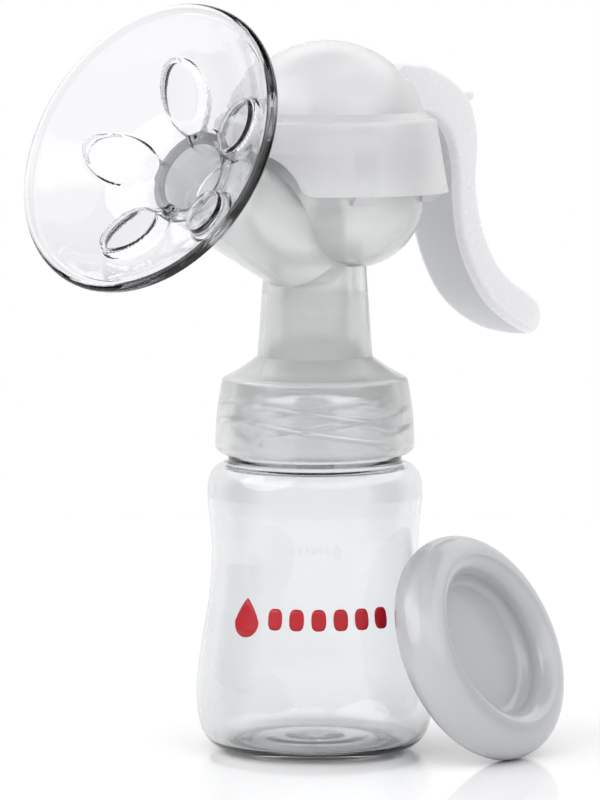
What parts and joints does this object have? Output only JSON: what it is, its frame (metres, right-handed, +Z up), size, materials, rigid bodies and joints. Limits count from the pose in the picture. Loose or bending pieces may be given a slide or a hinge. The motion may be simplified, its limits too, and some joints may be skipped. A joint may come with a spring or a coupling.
{
  "type": "manual breast pump",
  "caption": "Hand-squeezed breast pump: clear petalled funnel, frosted screw-on head with domed cover and curved lever, clear waisted bottle, and a ring-shaped stand leaning on it",
  "frame": {"origin": "Centre of the bottle's foot, on the plane it stands on", "axes": "+Z up along the bottle's axis; +X towards the lever, with the funnel opening towards -X; the XZ plane is the plane of symmetry of the head"},
  "size_m": [0.1874, 0.1062, 0.2118],
  "materials": {
    "clear_bottle": "clear polypropylene bottle, smooth gloss",
    "clear_cushion": "crystal clear soft funnel",
    "frosted_pp": "frosted translucent polypropylene",
    "white_silicone": "milky silicone",
    "white_pp": "white moulded plastic",
    "gloss_white": "glossy white plastic"
  },
  "bodies": {
    "bottle": {"bottle": "clear_bottle"},
    "stand": {"bottle_stand": "gloss_white"},
    "seal": {"collar_seal": "white_silicone"},
    "head": {"pump_body": "frosted_pp", "milk_tube": "frosted_pp", "duckbill_valve": "white_silicone", "dome_cover": "frosted_pp", "lever_pivot_pin": "white_pp", "diaphragm": "white_silicone"},
    "lever": {"lever": "frosted_pp"},
    "stem": {"diaphragm_stem": "white_pp"},
    "cushion": {"massage_cushion": "clear_cushion"}
  },
  "joints": [
    {"name": "seal_lift", "type": "slide", "parent": "bottle", "child": "seal", "axis": [0, 0, 1], "range_m": [0, 0.0157]},
    {"name": "head_turn", "type": "hinge", "parent": "seal", "child": "head", "pos_m": [0, 0, 0.0945], "axis": [0, 0, 1], "range_deg": [0, 270]},
    {"name": "lever_squeeze", "type": "hinge", "parent": "head", "child": "lever", "pos_m": [0.0256, 0, 0.182], "axis": [0, 1, 0], "range_deg": [0, 20], "stiffness_Nm_per_rad": 0.15, "springref_deg": -14.32},
    {"name": "stem_lift", "type": "slide", "parent": "head", "child": "stem", "axis": [0, 0, 1], "range_m": [0, 0.007], "deforming": ["diaphragm"]},
    {"name": "cushion_pull", "type": "slide", "parent": "head", "child": "cushion", "axis": [-0.9026, 0, 0.4305], "range_m": [0, 0.03]},
    {"name": "stand_away", "type": "slide", "parent": "bottle", "child": "stand", "axis": [0.3728, -0.9279, 0], "range_m": [0, 0.06]}
  ],
  "couplings": [
    {"joint": "seal_lift", "follows": "head_turn", "m_per_rad": 0.0033104},
    {"joint": "stem_lift", "follows": "lever_squeeze", "m_per_rad": 0.02}
  ]
}
